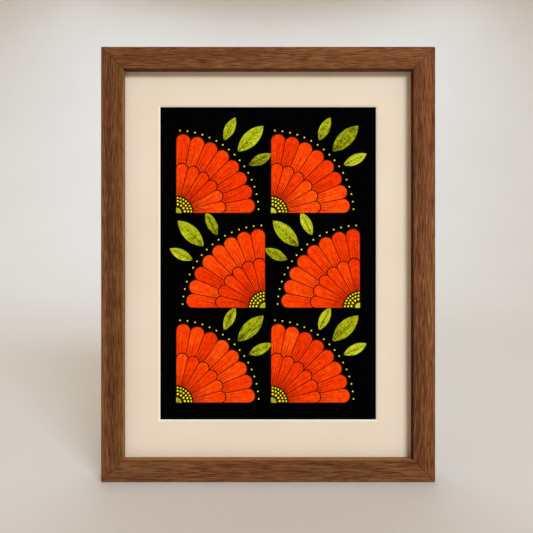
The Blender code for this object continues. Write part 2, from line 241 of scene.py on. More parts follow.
def stretched(tree, value, low, high, to_low=0.0, to_high=1.0):
    """A value from low to high, spread to another range and held inside it."""
    node = add_node(tree, "MapRange")
    for name, setting in zip(
        ("Value", "From Min", "From Max", "To Min", "To Max"),
        (value, low, high, to_low, to_high),
    ):
        plug(tree, node.inputs[name], setting)
    return node.outputs["Result"]


def coloured(tree, factor, stops):
    """A run of colours over a value: stops are (place, colour) pairs in rising order."""
    node = add_node(tree, "ValToRGB")
    elements = node.color_ramp.elements
    for element, (place, colour) in zip((elements[0], elements[1]), (stops[0], stops[-1])):
        element.position = place
        element.color = colour
    for place, colour in stops[1:-1]:
        elements.new(place).color = colour
    tree.links.new(factor, node.inputs["Fac"])
    return node.outputs["Color"]


def mixed(tree, factor, first, second, blend="MIX"):
    """Two colours mixed by a factor."""
    node = add_node(tree, "Mix", data_type="RGBA", blend_type=blend)
    plug(tree, node.inputs[0], factor)
    plug(tree, node.inputs[6], first)
    plug(tree, node.inputs[7], second)
    return node.outputs[2]


def relief(tree, shader, height, distance, strength=1.0):
    """Bump from a height between 0 and 1 that stands for a distance in metres."""
    node = add_node(tree, "Bump")
    node.inputs["Distance"].default_value = distance
    node.inputs["Strength"].default_value = strength
    tree.links.new(height, node.inputs["Height"])
    tree.links.new(node.outputs["Normal"], shader.inputs["Normal"])


def dress(node, material):
    """Gives a CAD node a material in its first slot."""
    NODES[node].material_slots[0].material = material


# Finishes


def walnut(side, along, across, sight, tone, edge, strength):
    """Oiled walnut with its grain along one axis: broad bands, short strands and fine dark pores.

    sight is the place on the axis across the rail where its inner wall stands. The wood turns
    to the colour edge there by strength: painted light, paler on inner walls that face the key
    light, and painted shade, darker on inner walls turned away from it.
    """
    material, tree, shader = new_finish(f"walnut_{side}", 0.7, shine=0.05)
    start = sum(map(ord, side)) * 0.37

    def with_grain(cross, lengthwise, shift):
        scale = [cross, cross, cross]
        scale["XYZ".index(along)] = lengthwise
        return placed(tree, scale, (start + shift, start * 2 + shift, start * 3))

    bands = grain_noise(tree, with_grain(60, 2.4, 0.0), 1.0, 0.5, 0.3)
    strands = grain_noise(tree, with_grain(1250, 60, 3.0), 2.0, 0.6, 0.2)
    fibres = grain_noise(tree, with_grain(1800, 130, 7.0), 2.0, 0.6)
    dashes = grain_noise(tree, with_grain(1150, 80, 11.0), 2.0, 0.5)
    warmth = grain_noise(tree, with_grain(130, 6.0, 17.0), 2.0, 0.5)
    pores = stretched(tree, dashes, 0.58, 0.72)
    mix = maths(tree, "MULTIPLY", bands, 0.28)
    mix = maths(tree, "MULTIPLY_ADD", strands, 0.6, mix)
    mix = maths(tree, "MULTIPLY_ADD", fibres, 0.12, mix)
    hues = []
    for shades in (
        [(80, 43, 21), (103, 58, 32), (118, 69, 39), (139, 86, 52)],
        [(77, 42, 19), (100, 60, 30), (116, 72, 38), (137, 91, 51)],
    ):
        # tone scales all the rail's shades: painted light, which makes the rails the key light falls on more
        # strongly lighter
        side_lit_shades = [srgb(*(np.array(shade) * tone)) for shade in shades]
        hues.append(coloured(tree, mix, list(zip((0.4, 0.47, 0.53, 0.6), side_lit_shades))))
    wood = mixed(tree, stretched(tree, warmth, 0.35, 0.65), *hues)
    wood = mixed(tree, maths(tree, "MULTIPLY", pores, 0.65), wood, srgb(40, 20, 9))
    place = add_node(tree, "SeparateXYZ")
    tree.links.new(add_node(tree, "TexCoord").outputs["Object"], place.inputs[0])
    off = maths(tree, "SUBTRACT", place.outputs[across], sight)
    # Painted light and shade: a band along the inner wall is turned to the edge colour
    painted_edge_band = stretched(tree, maths(tree, "ABSOLUTE", off), 0.05 * MM, 0.4 * MM, strength, 0.0)
    turned = maths(tree, "MULTIPLY", painted_edge_band, stretched(tree, strands, 0.3, 0.6, 0.6, 1.0))
    wood = mixed(tree, turned, wood, srgb(*edge))
    plug(tree, shader.inputs["Base Color"], wood)
    plug(tree, shader.inputs["Roughness"], stretched(tree, fibres, 0.35, 0.65, 0.6, 0.8))
    relief(tree, shader, maths(tree, "SUBTRACT", mix, pores), 0.05 * MM, 0.5)
    return material


def clear_glass():
    """Coated picture glass: nothing mirrors in it from the front, and a little from the side."""
    material = bpy.data.materials.new("clear_glazing")
    material.use_nodes = True
    tree = material.node_tree
    tree.nodes.remove(tree.nodes["Principled BSDF"])
    see = add_node(tree, "BsdfTransparent")
    see.inputs["Color"].default_value = (0.995, 1.0, 0.995, 1)
    gloss = add_node(tree, "BsdfGlossy")
    gloss.inputs["Roughness"].default_value = 0.03
    gloss.inputs["Color"].default_value = (0.8, 0.9, 1.0, 1)
    mirrored = add_node(tree, "Fresnel")
    mirrored.inputs["IOR"].default_value = 1.5
    slanted = stretched(tree, mirrored.outputs["Fac"], 0.045, 0.5, 0.0, 0.14)
    smears = grain_noise(tree, placed(tree, (22, 22, 30)), 4.0, 0.55, 0.6)
    weight = maths(tree, "MULTIPLY", slanted, stretched(tree, smears, 0.35, 0.7, 0.6, 1.0))
    blend = add_node(tree, "MixShader")
    tree.links.new(weight, blend.inputs[0])
    tree.links.new(see.outputs[0], blend.inputs[1])
    tree.links.new(gloss.outputs[0], blend.inputs[2])
    tree.links.new(blend.outputs[0], tree.nodes["Material Output"].inputs["Surface"])
    return material


def mat_paper():
    """The mat's cream face paper: fine felted fibres and a faint unevenness of tone."""
    material, tree, shader = new_finish("mat_face_paper", 0.92, shine=0.1)
    felt = grain_noise(tree, placed(tree, (900, 900, 900)), 4.0, 0.7)
    cloud = grain_noise(tree, placed(tree, (14, 14, 14)), 2.0, 0.5)
    mix = maths(tree, "MULTIPLY_ADD", cloud, 0.5, maths(tree, "MULTIPLY", felt, 0.5))
    cream = coloured(tree, mix, [(0.3, srgb(233, 210, 184)), (0.7, srgb(241, 218, 194))])
    plug(tree, shader.inputs["Base Color"], cream)
    relief(tree, shader, felt, 0.05 * MM, 0.5)
    return material


def mat_core():
    """The mat's pale core where the bevel cuts through its layers."""
    material, tree, shader = new_finish("mat_bevel_core", 0.95, shine=0.1)
    layers = grain_noise(tree, placed(tree, (60, 3500, 60)), 3.0, 0.6)
    pale = coloured(tree, layers, [(0.3, srgb(250, 234, 206)), (0.7, srgb(255, 247, 224))])
    plug(tree, shader.inputs["Base Color"], pale)
    relief(tree, shader, layers, 0.04 * MM, 0.5)
    return material


def paper():
    """The print's own sheet: white paper, seen only where no ink covers it."""
    material, tree, shader = new_finish("print_paper", 0.85, shine=0.2)
    fibres = grain_noise(tree, placed(tree, (700, 700, 700)), 4.0, 0.7)
    white = coloured(tree, fibres, [(0.3, srgb(222, 216, 204)), (0.7, srgb(236, 231, 221))])
    plug(tree, shader.inputs["Base Color"], white)
    relief(tree, shader, fibres, 0.04 * MM, 0.4)
    return material


def black_ink():
    """The deep black ground, rolled on: all but even, with the paper's tooth in it."""
    material, tree, shader = new_finish("ink_black", 0.8, shine=0.015)
    tooth = grain_noise(tree, placed(tree, (900, 900, 900)), 3.0, 0.7)
    deep, worn = (0.0001, 0.0001, 0.0001, 1), (0.0006, 0.0005, 0.0005, 1)
    plug(tree, shader.inputs["Base Color"], coloured(tree, tooth, [(0.3, deep), (0.8, worn)]))
    relief(tree, shader, tooth, 0.02 * MM, 0.4)
    return material


def brushed_ink(name, shades, streaks, base=0.12, dry=0.0):
    """Coloured ink with brush streaks along each printed shape, cloudy mottling and a fine tooth.

    The piece's UV map gives the place across each shape and along it, in millimetres. Its tone
    attribute has a shade for each shape, and its share attribute runs from 0 at a shape's start
    to 1 at its end: base is how much deeper the ink lies at the start. dry is how much of the
    dark underneath shows where the brush ran dry.
    """
    material, tree, shader = new_finish(name, 0.7, shine=0.02)
    bristles = grain_noise(tree, placed(tree, (streaks, 0.05, 1), source="UV"), 3.0, 0.6, 0.3)
    cloud = grain_noise(tree, placed(tree, (240, 240, 240)), 4.0, 0.62, 0.6)
    tone = add_node(tree, "Attribute", attribute_name="tone")
    share = add_node(tree, "Attribute", attribute_name="share")
    mix = maths(tree, "MULTIPLY", bristles, 0.45)
    mix = maths(tree, "MULTIPLY_ADD", cloud, 0.43, mix)
    mix = maths(tree, "MULTIPLY_ADD", tone.outputs["Fac"], 0.12, mix)
    mix = maths(tree, "SUBTRACT", mix, stretched(tree, share.outputs["Fac"], 0.0, 0.5, base, 0.0))
    places = np.linspace(0.38, 0.62, len(shades)).tolist()
    colour = coloured(tree, mix, list(zip(places, [srgb(*shade) for shade in shades])))
    if dry:
        tooth = grain_noise(tree, placed(tree, (1100, 1100, 1100)), 2.0, 0.6)
        bare = stretched(tree, maths(tree, "MULTIPLY", tooth, bristles), 0.33, 0.42, 0.0, dry)
        colour = mixed(tree, bare, colour, srgb(92, 30, 6))
    plug(tree, shader.inputs["Base Color"], colour)
    relief(tree, shader, mix, 0.02 * MM, 0.4)
    return material


def orange_ink():
    """Orange-red, deepest at a rib's foot."""
    shades = [(218, 40, 0), (244, 54, 0), (251, 66, 1), (255, 92, 16)]
    return brushed_ink("ink_orange", shades, 0.7, 0.05, 0.2)


def green_ink():
    """Yellow-green in two strengths, streaked."""
    shades = [(100, 101, 4), (161, 166, 12), (187, 192, 24), (218, 220, 60)]
    return brushed_ink("ink_green", shades, 0.9, 0.06, 0.2)


def yellow_ink():
    """The warm yellow of the dots."""
    return brushed_ink("ink_yellow", [(236, 218, 14), (252, 240, 40)], 0.9, 0.0)


def brown_ink():
    """The dark brown of outlines and veins."""
    return brushed_ink("ink_brown", [(40, 14, 4), (66, 24, 8)], 0.9, 0.0)


def hardboard():
    """The screen-marked back of a hardboard sheet, with its fibres pressed flat."""
    material, tree, shader = new_finish("hardboard", 0.82, shine=0.2)
    flecks = grain_noise(tree, placed(tree, (900, 900, 260)), 5.0, 0.7, 0.8)
    cloud = grain_noise(tree, placed(tree, (9, 9, 9)), 3.0, 0.55)
    mix = maths(tree, "MULTIPLY_ADD", cloud, 0.35, maths(tree, "MULTIPLY", flecks, 0.65))
    shades = [(0.38, srgb(92, 60, 37)), (0.5, srgb(120, 82, 51)), (0.62, srgb(150, 108, 72))]
    plug(tree, shader.inputs["Base Color"], coloured(tree, mix, shades))
    heights = []
    for turn in (QUARTER / 2, -QUARTER / 2):
        wave = add_node(tree, "TexWave", wave_type="BANDS", bands_direction="X")
        wave.inputs["Scale"].default_value = 1.0
        slanted = placed(tree, (110, 110, 110), rotation=(0, turn, 0))
        tree.links.new(slanted, wave.inputs["Vector"])
        heights.append(wave.outputs["Fac"])
    screen = maths(tree, "MINIMUM", *heights)
    relief(tree, shader, maths(tree, "MULTIPLY_ADD", flecks, 0.8, screen), 0.12 * MM, 0.6)
    return material


def foam_board():
    """White-faced foam board."""
    material, tree, shader = new_finish("foam_board", 0.85, shine=0.2)
    cells = grain_noise(tree, placed(tree, (1500, 1500, 1500)), 2.0, 0.5)
    white = coloured(tree, cells, [(0.3, srgb(214, 212, 206)), (0.7, srgb(238, 236, 230))])
    plug(tree, shader.inputs["Base Color"], white)
    relief(tree, shader, cells, 0.05 * MM, 0.5)
    return material


def plated(name, pale, dull, roughness, scratches, worn=(70, 62, 54)):
    """Plated metal: cloudy plating, fine scratches drawn out along one axis and dull spots."""
    material, tree, shader = new_finish(name, roughness, metallic=1.0)
    cloud = grain_noise(tree, placed(tree, (160, 160, 160)), 4.0, 0.6, 0.4)
    lines = grain_noise(tree, placed(tree, scratches), 3.0, 0.6)
    freckles = grain_noise(tree, placed(tree, (700, 700, 700), (5, 1, 2)), 3.0, 0.5)
    spots = stretched(tree, freckles, 0.62, 0.76)
    colour = coloured(tree, cloud, [(0.35, srgb(*dull)), (0.65, srgb(*pale))])
    colour = mixed(tree, maths(tree, "MULTIPLY", spots, 0.6), colour, srgb(*worn))
    plug(tree, shader.inputs["Base Color"], colour)
    smooth = stretched(tree, lines, 0.35, 0.65, roughness - 0.08, roughness + 0.12)
    plug(tree, shader.inputs["Roughness"], maths(tree, "MULTIPLY_ADD", spots, 0.25, smooth))
    relief(tree, shader, lines, 0.01 * MM, 0.5)
    return material


def soft_bumper():
    """Milky polyurethane that lets a little light in."""
    material, tree, shader = new_finish("bumper_rubber", 0.35)
    haze = grain_noise(tree, placed(tree, (500, 500, 500)), 3.0, 0.5)
    milk = coloured(tree, haze, [(0.3, srgb(196, 194, 186)), (0.7, srgb(222, 220, 212))])
    plug(tree, shader.inputs["Base Color"], milk)
    plug(tree, shader.inputs["Roughness"], stretched(tree, haze, 0.3, 0.7, 0.28, 0.42))
    shader.inputs["Subsurface Weight"].default_value = 0.25
    shader.inputs["Subsurface Radius"].default_value = (1 * MM, 1 * MM, 0.9 * MM)
    shader.inputs["Subsurface Scale"].default_value = 1.0
    return material


# The picture


def add_mat():
    """The mat board: its section carried round the window, with mitred corners.

    Each point of the section lies between the outer edge (share 0) and the window's edge at
    the mat's back (share 1), or off the window's edge by a reach, at a depth in the board.
    Rings stand at the corners of the path and at even steps between them.
    """
    low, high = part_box("mat_board")
    centre = np.array([(low.x + high.x) / 2, (low.z + high.z) / 2])
    outer = np.array([high.x - low.x, high.z - low.z]) / 2
    window = np.array([WINDOW_WIDTH, WINDOW_HEIGHT]) / 2
    front, back = low.y, high.y
    thickness = back - front
    lip = 0.12 * MM  # how far the cut edge of the face paper is rolled over
    section = [
        (0.0, 0.0, front),
        (0.35, 0.0, front),
        (0.7, 0.0, front),
        (1.0, thickness + 2 * lip, front),
        (1.0, thickness + lip, front + 0.2 * lip),
        (1.0, thickness, front + lip),
        (1.0, 0.5 * thickness, front + 0.5 * thickness + 0.2 * lip),
        (1.0, 0.0, back),
        (0.0, 0.0, back),
    ]
    corners = np.array([(-1, -1), (1, -1), (1, 1), (-1, 1)], float)
    steps = np.arange(24) / 24
    start, stop = corners[:, None], np.roll(corners, -1, axis=0)[:, None]
    path = (start + (stop - start) * steps[None, :, None]).reshape(-1, 2)
    share, reach, depth = np.array(section).T
    opening = window + reach[:, None]
    inner = path[:, None] * opening[None] + np.array([0.0, WINDOW_RISE])
    outside = path[:, None] * outer
    across = outside * (1 - share)[None, :, None] + inner * share[None, :, None]
    rings = np.empty((1, len(path), len(section), 3))
    rings[0, ..., 0] = across[..., 0] + centre[0]
    rings[0, ..., 1] = depth
    rings[0, ..., 2] = across[..., 1] + centre[1]
    points, faces = closed_skins(rings, looped=True)
    finishes = [mat_paper(), mat_core()]
    mat = add_piece("mat_with_bevel", points, faces, finishes, BODY["mat_board"])
    part = np.arange(len(section))
    bevel = np.tile((part >= 4) & (part <= 6), len(path))
    mat.data.polygons.foreach_set("material_index", bevel.astype(np.int32))
    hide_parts("mat_board")


def strokes(start, heading, length, half_width, level, bend=0.0, rows=20):
    """Rings of flat ink strokes, each a path in the print's plane with a width along it.

    start[k] is where stroke k begins, heading[k] its direction as an angle from +X, and bend
    how far it turns by its end. half_width is a function of the share of the length. Across
    the path, a stroke is a low flat-topped bead of one layer of ink. With the rings come, for
    each point, its place across and along the stroke in millimetres and its share of the length.
    """
    share = (1 - np.cos(np.linspace(0, np.pi, rows))) / 2
    pace = np.diff(share, prepend=0.0)
    turn = heading[:, None] + bend * share
    middle = turn - bend * pace / 2
    run = np.stack([np.cos(middle), np.sin(middle)], -1) * (pace * length[:, None])[..., None]
    path = start[:, None] + np.cumsum(run, axis=1)
    sideways = np.stack([-np.sin(turn), np.cos(turn)], -1)
    bead = np.array([(-1, 0), (-0.985, 1), (-0.5, 1), (0, 1), (0.5, 1), (0.985, 1), (1, 0)])
    widths = np.maximum(half_width(share[None], length[:, None]), FINEST)
    flat = path[:, :, None] + widths[..., None, None] * bead[:, :1] * sideways[:, :, None]
    rings = np.empty((*flat.shape[:3], 3))
    rings[..., 0] = flat[..., 0]
    rings[..., 1] = PRINT_FRONT - (level - 1 + bead[:, 1]) * INK
    rings[..., 2] = flat[..., 1]
    across = widths[..., None] * bead[:, 0] / MM
    along = np.broadcast_to((share * length[:, None])[..., None] / MM, across.shape)
    shares = np.broadcast_to(share[None, :, None], across.shape)
    return rings, np.stack([across, along, shares], -1)


def add_ink(name, groups, material, seed):
    """One piece of ink from groups of strokes, with their UV map and a tone for each stroke."""
    random = np.random.default_rng(seed)
    all_points, all_faces, all_places, tones, shares = [], [], [], [], []
    count = 0
    for rings, places in groups:
        points, faces = closed_skins(rings)
        poles = places[:, [0, -1]].mean(axis=2)
        places = np.concatenate([places.reshape(len(places), -1, 3), poles], axis=1)
        drift = random.random((len(places), 1, 2)) * 50
        all_places.append((places[..., :2] + drift).reshape(-1, 2))
        tones.append(np.repeat(random.random(len(places)), places.shape[1]))
        shares.append(places[..., 2].ravel())
        all_faces += [[corner + count for corner in face] for face in faces]
        all_points.append(points)
        count += len(points)
    points = np.concatenate(all_points)
    piece = add_piece(name, points, all_faces, [material], BODY["print"])
    mesh = piece.data
    corners = np.empty(len(mesh.loops), np.int32)
    mesh.loops.foreach_get("vertex_index", corners)
    layer = mesh.uv_layers.new(name="stroke")
    layer.data.foreach_set("uv", np.concatenate(all_places)[corners].astype(np.float32).ravel())
    for kind, values in (("tone", tones), ("share", shares)):
        attribute = mesh.attributes.new(kind, "FLOAT", "POINT")
        attribute.data.foreach_set("value", np.concatenate(values).astype(np.float32))
    return piece


def rib_width(begin, reach, spread, grown=0.0):
    """The half width of a fan's rib: it widens with the fan, and ends in a round."""
    round_radius = reach * math.sin(spread) / (1 + math.sin(spread))
    turn_at = reach - round_radius

    def half_width(share, length):
        radius = begin - grown + share * length
        side = radius * math.tan(spread) - LINE + grown
        over = np.clip(radius - turn_at, 0, None)
        tip = np.sqrt(np.clip((round_radius + grown) ** 2 - over**2, 0, None))
        return np.where(radius < turn_at, side, np.minimum(tip, side))

    return half_width


def lens_width(widest):
    """The half width of a leaf: a lens, pointed at both ends."""
    return lambda share, length: widest * (1 - (2 * share - 1) ** 2) ** 0.9 + 0 * length


def tapered(widest, least=0.35):
    """The half width of a drawn line: full at its start and fine at its end."""
    return lambda share, length: widest * (1 - (1 - least) * share) + 0 * length


def disc_width(share, length):
    """The half width of a dot, whose length is its diameter."""
    return length * np.sqrt(np.clip(share * (1 - share), 0, None))


def quarter_disc(reach):
    """The half width of a quarter disc along its middle line."""

    def half_width(share, length):
        along = share * length
        return np.minimum(along, np.sqrt(np.clip(reach**2 - along**2, 0, None)))

    return half_width


def polar(hub, radius, angle):
    """Points at a radius and an angle from each hub."""
    return hub + np.stack([radius * np.cos(angle), radius * np.sin(angle)], -1)


def fan_places():
    """The hub of each fan and the angle of its first side, block by block.

    In every other row the fans open to the left, so no two fans meet at a hub.
    """
    column, row = (part.ravel() for part in np.meshgrid(np.arange(COLUMNS), np.arange(ROWS)))
    to_left = row % 2 == 1
    x = (column - COLUMNS / 2) * TILE + np.where(to_left, TILE - HUB_INSET, HUB_INSET)
    z = (ROWS / 2 - 1 - row) * TILE + HUB_INSET
    return np.stack([x, z], -1) + PICTURE_CENTRE, np.where(to_left, QUARTER, 0.0)


def spread_over(sides, count):
    """An angle for each fan and each of a count of members spread evenly over its quarter."""
    return (sides[:, None] + (np.arange(count) + 0.5) / count * QUARTER).ravel()


def ribs(fans, count, begin, reach, level, veins):
    """One tier of ribs: a brown shape under each, the orange rib, and brown veins drawn on it.

    veins are (off, run) pairs: how far a vein lies off the rib's middle, as a share of its
    half angle, and how much of the rib it runs along.
    """
    hubs, sides = fans
    spread = QUARTER / count / 2
    angle = spread_over(sides, count)
    hub = np.repeat(hubs, count, axis=0)
    length = np.full(len(angle), reach - begin)
    edge = 2 * LINE
    outline = rib_width(begin, reach, spread, edge)
    brown = [strokes(polar(hub, begin - edge, angle), angle, length + 2 * edge, outline, level)]
    shape = rib_width(begin, reach - LINE, spread)
    orange = [strokes(polar(hub, begin, angle), angle, length - LINE, shape, level + 1)]
    for off, run in veins:
        vein = angle + off * spread
        foot = polar(hub, begin, vein)
        brown.append(strokes(foot, vein, run * length, tapered(VEIN), level + 2, rows=8))
    return orange, brown


def dots(middles, diameter, level):
    """Round dots of ink at their middles."""
    start = middles - np.array([[diameter / 2, 0]])
    length = np.full(len(middles), diameter)
    return strokes(start, np.zeros(len(middles)), length, disc_width, level, rows=9)


def hub_discs(fans):
    """The brown quarter disc that each fan's ribs run out from, and its green core."""
    hubs, sides = fans
    middle = sides + QUARTER / 2
    brown = strokes(hubs, middle, np.full(len(hubs), HUB_REACH), quarter_disc(HUB_REACH), 8)
    green = strokes(hubs, middle, np.full(len(hubs), HUB_CORE), quarter_disc(HUB_CORE), 9)
    return [green], [brown]


def fan_dots(fans):
    """Arcs of yellow dots: three on each hub, and one outside each fan."""
    hubs, sides = fans
    rows = [(9.0 * MM, 4, 1.0, 9), (12.4 * MM, 6, 0.9, 9), (15.6 * MM, 8, 0.8, 9)]
    rows.append((OUTER_REACH + 3.4 * MM, BORDER_DOTS, 0.7, 2))
    groups = []
    for reach, count, size, level in rows:
        hub = np.repeat(hubs, count, axis=0)
        groups.append(dots(polar(hub, reach, spread_over(sides, count)), DOT * size, level))
    return groups


def leaf_spray(fans):
    """Three lens-shaped leaves in the corner that each fan faces, with their veins."""
    hubs, sides = fans
    green, brown = [], []
    for off, length, widest in ((0.0, 37 * MM, 7.6 * MM), (-0.2, 26 * MM, 5.2 * MM), (0.2, 26 * MM, 5.2 * MM)):
        aim = sides + QUARTER / 2 + off
        heading = aim + off * 0.9
        bend = -0.5 * off
        foot = polar(hubs, LEAF_FROM, aim)
        run = np.full(len(hubs), length)
        green.append(strokes(foot, heading, run, lens_width(widest), 2, bend))
        brown.append(strokes(foot, heading, run * 0.96, tapered(VEIN, 0.4), 3, bend))
        for share in (0.16, 0.3, 0.44, 0.58, 0.72):
            joint = polar(foot, share * length, heading + bend * share / 2)
            reach = np.full(len(hubs), widest * (1 - (2 * share - 0.88) ** 2) * 1.05)
            for hand in (-1, 1):
                side = heading + bend * share + hand * 0.62
                brown.append(strokes(joint, side, reach, tapered(0.6 * VEIN), 3, -0.35 * hand, 6))
    return green, brown


def add_print():
    """The block print: a black ground with fans and leaves in coloured inks."""
    dress("print", paper())
    half = np.array([WINDOW_WIDTH, WINDOW_HEIGHT]) / 2 + 3 * MM
    foot = PICTURE_CENTRE[None] - np.array([[0, half[1]]])
    ground = strokes(foot, np.array([QUARTER]), 2 * half[1:], tapered(half[0], 1.0), 1)
    fans = fan_places()
    outer_veins = [(0.0, 0.62), (-0.46, 0.42), (0.46, 0.48)]
    inner_veins = [(0.0, 0.66), (-0.46, 0.5), (0.46, 0.44)]
    outer_orange, outer_brown = ribs(fans, OUTER_RIBS, OUTER_FROM, OUTER_REACH, 2, outer_veins)
    inner_orange, inner_brown = ribs(fans, INNER_RIBS, INNER_FROM, INNER_REACH, 5, inner_veins)
    hub_green, hub_brown = hub_discs(fans)
    leaf_green, leaf_brown = leaf_spray(fans)
    add_ink("ink_ground", [ground], black_ink(), 1)
    add_ink("ink_orange", outer_orange + inner_orange, orange_ink(), 2)
    add_ink("ink_brown", outer_brown + inner_brown + hub_brown + leaf_brown, brown_ink(), 3)
    add_ink("ink_yellow", fan_dots(fans), yellow_ink(), 4)
    add_ink("ink_green", hub_green + leaf_green, green_ink(), 5)


# Fittings


def add_screw(node, seat, turn, material):
    """A pan-head wood screw about Y: a crown with a cross recess, and a threaded shank.

    The crown is an ellipse, and the recess sinks where a point lies in one of two crossed bars.
    The shank's radius rises and falls with the depth and the angle, which gives the thread, and
    shrinks to the tip. seat is the depth of the head's underside, and turn is how far the
    recess is turned.
    """
    low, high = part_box(node)
    spot = ((low.x + high.x) / 2, seat, (low.z + high.z) / 2)
    around = 56
    angle = np.linspace(0, 2 * np.pi, around, endpoint=False)
    share = np.sin(np.linspace(0.015, 1, 30) * QUARTER)[:, None]
    radius = HEAD_RADIUS * share + 0 * angle
    arm, bar, soft, deep = 1.6 * MM, 0.38 * MM, 0.12 * MM, 1.1 * MM
    x, y = np.abs(radius * np.cos(angle + turn)), np.abs(radius * np.sin(angle + turn))
    in_arm, in_bar = (
        [np.clip((edge - along) / soft + 0.5, 0, 1) for along in (x, y)] for edge in (arm, bar)
    )
    cross = np.maximum(in_arm[0] * in_bar[1], in_arm[1] * in_bar[0])
    crown = HEAD_HEIGHT * np.sqrt(1 - share**2) ** 0.8 - cross * deep * (1 - 0.35 * radius / arm)
    under = np.array([(2.9, -0.16), (2.7, -0.24), (1.4, -0.24), (1.4, -1.0)]) * MM
    run = np.linspace(0, 1, 70)[:, None]
    depth = -1.05 * MM - (SHANK_LENGTH - 1.05 * MM) * run
    phase = (depth / THREAD_PITCH - angle / (2 * np.pi)) % 1.0
    crest = np.clip(1 - 3 * np.abs(phase - 0.5), 0, 1)
    point = np.clip((1 - run) / 0.3, 0.03, 1)
    shank = (SHANK_ROOT + (SHANK_RADIUS - SHANK_ROOT) * crest) * point
    radius = np.concatenate([radius, under[:, :1] + 0 * angle, shank])
    depth = np.concatenate([crown, under[:, 1:] + 0 * angle, depth + 0 * angle])
    points, faces = closed_skins(turned_about_y(spot, radius, depth, around))
    name = node.replace("screw", "wood_screw")
    screw = add_piece(name, points, faces, [material], BODY[node], smooth=40)
    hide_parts(node)


def add_button(side, end, material):
    """A turn button: a stadium-shaped plate round its screw hole, with its tip bent back.

    Its section runs from the hole's edge (share 0) out to the plate's outline (share 1), over
    the rounded rim and back underneath. It is carried all round the hole, and where a point
    lies past the fold its depth rises at a slope, eased in over the fold.
    """
    node = f"turn_button_{side}_{end}"
    low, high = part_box(node.replace("turn_button", "button_screw"))
    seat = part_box(node)[0].y
    angle = np.linspace(0, 2 * np.pi, 72, endpoint=False)
    ray = np.stack([np.cos(angle), np.sin(angle)], -1)
    centre = np.where(ray[:, 1:] < 0, np.array([[0, BUTTON_RADIUS - BUTTON_REACH]]), 0.0)
    outline = centre + ray * BUTTON_RADIUS
    rim, thick = 0.22 * MM, BUTTON_THICKNESS
    flat = [(0, 0.1), (0.3, 0), (0.6, 0), (0.75, 0), (0.88, 0), (1, -rim / MM)]
    over = [(share, off * MM, thick) for share, off in flat]
    edge = [(1, -0.3 * rim, thick - 0.3 * rim), (1, 0, thick - rim), (1, 0, rim)]
    edge.append((1, -0.3 * rim, 0.3 * rim))
    under = [(share, off * MM, 0) for share, off in reversed(flat)]
    share, off, depth = np.array(over + edge + under).T[:, None, :, None]
    hole = ray[:, None] * SCREW_HOLE
    place = hole + (outline[:, None] - hole) * share + ray[:, None] * off
    past = BUTTON_TIP - BUTTON_REACH - place[..., 1]
    ease = 0.5 * MM
    lift = BUTTON_TIP_SLOPE * (past + np.sqrt(past**2 + ease**2)) / 2
    lift -= BUTTON_TIP_SLOPE * ease**2 / (4 * BUTTON_REACH)
    turn = math.radians(SIDE_TURN[side])
    rings = np.empty((1, *place.shape[:2], 3))
    rings[0, ..., 0] = (low.x + high.x) / 2 + place[..., 0] * math.cos(turn) + place[..., 1] * math.sin(turn)
    rings[0, ..., 1] = seat + depth[..., 0] + np.clip(lift, 0, None)
    rings[0, ..., 2] = (low.z + high.z) / 2 - place[..., 0] * math.sin(turn) + place[..., 1] * math.cos(turn)
    points, faces = closed_skins(rings, looped=True)
    plate = add_piece(f"{node}_plate", points, faces, [material], BODY[node], smooth=35)
    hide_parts(node)


def add_bumper(node, material):
    """A round bumper turned about Y: a low dome, a rounded edge and a side that tapers out."""
    low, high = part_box(node)
    rail_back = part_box("rail_bottom")[1].y
    spot = ((low.x + high.x) / 2, 0.0, (low.z + high.z) / 2)
    height = high.y - rail_back
    share = np.linspace(0.02, 1, 22)
    dome = np.stack([share * 0.7 * BUMPER_RADIUS, height * (1 - 0.06 * share**2)], -1)
    turn = np.linspace(0, 1, 10)[1:] * QUARTER
    edge = np.stack(
        [
            (0.7 + 0.26 * np.sin(turn)) * BUMPER_RADIUS,
            height * (0.94 - 0.52 * (1 - np.cos(turn))),
        ],
        -1,
    )
    foot = np.array([(BUMPER_RADIUS, 0.06 * MM), (0.97 * BUMPER_RADIUS, 0.02 * MM)])
    radius, depth = np.concatenate([dome, edge, foot]).T
    points, faces = closed_skins(turned_about_y(spot, radius, rail_back + depth, 64))
    name = node.replace("wall_bumper", "soft_bumper")
    bumper = add_piece(name, points, faces, [material], BODY[node], smooth=50)
    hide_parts(node)


def add_fittings():
    """The screws, turn buttons, bumpers, hanger and corner joiners on the back."""
    zinc = plated("zinc_plate", (208, 206, 200), (168, 168, 164), 0.36, (300, 300, 2600))
    steel = plated("screw_steel", (206, 200, 184), (160, 154, 140), 0.3, (900, 900, 900))
    brass = plated("hanger_plate", (214, 176, 98), (176, 138, 70), 0.32, (240, 2400, 2400))
    blued = plated("joiner_steel", (120, 124, 134), (84, 88, 98), 0.42, (900, 900, 900))
    rubber = soft_bumper()
    random = np.random.default_rng(7)
    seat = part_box("turn_button_top_left")[0].y + BUTTON_THICKNESS + 0.3 * MM
    for node in sorted(name for name in NODES if "screw" in name):
        add_screw(node, seat, random.random() * QUARTER, steel)
    for node in sorted(name for name in NODES if name.startswith("turn_button")):
        add_button(*node.split("_")[-2:], zinc)
    for node in ("wall_bumper_left", "wall_bumper_right"):
        add_bumper(node, rubber)
    dress("hanger", brass)
    for node in sorted(name for name in NODES if name.startswith("corner_joiner")):
        dress(node, blued)


# Studio


def add_camera():
    """Looks level along +Y, as the photo does."""
    data = bpy.data.cameras.new("camera")
    data.lens = LENS
    data.sensor_width = SENSOR
    camera = bpy.data.objects.new("camera", data)
    bpy.context.scene.collection.objects.link(camera)
    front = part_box("rail_left")[0].y
    middle = (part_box("rail_bottom")[0].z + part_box("rail_top")[1].z) / 2
    camera.location = (-CAMERA_LEFT, front - CAMERA_DISTANCE, middle - CAMERA_BELOW)
    camera.rotation_euler = (QUARTER, 0, 0)
    bpy.context.scene.camera = camera


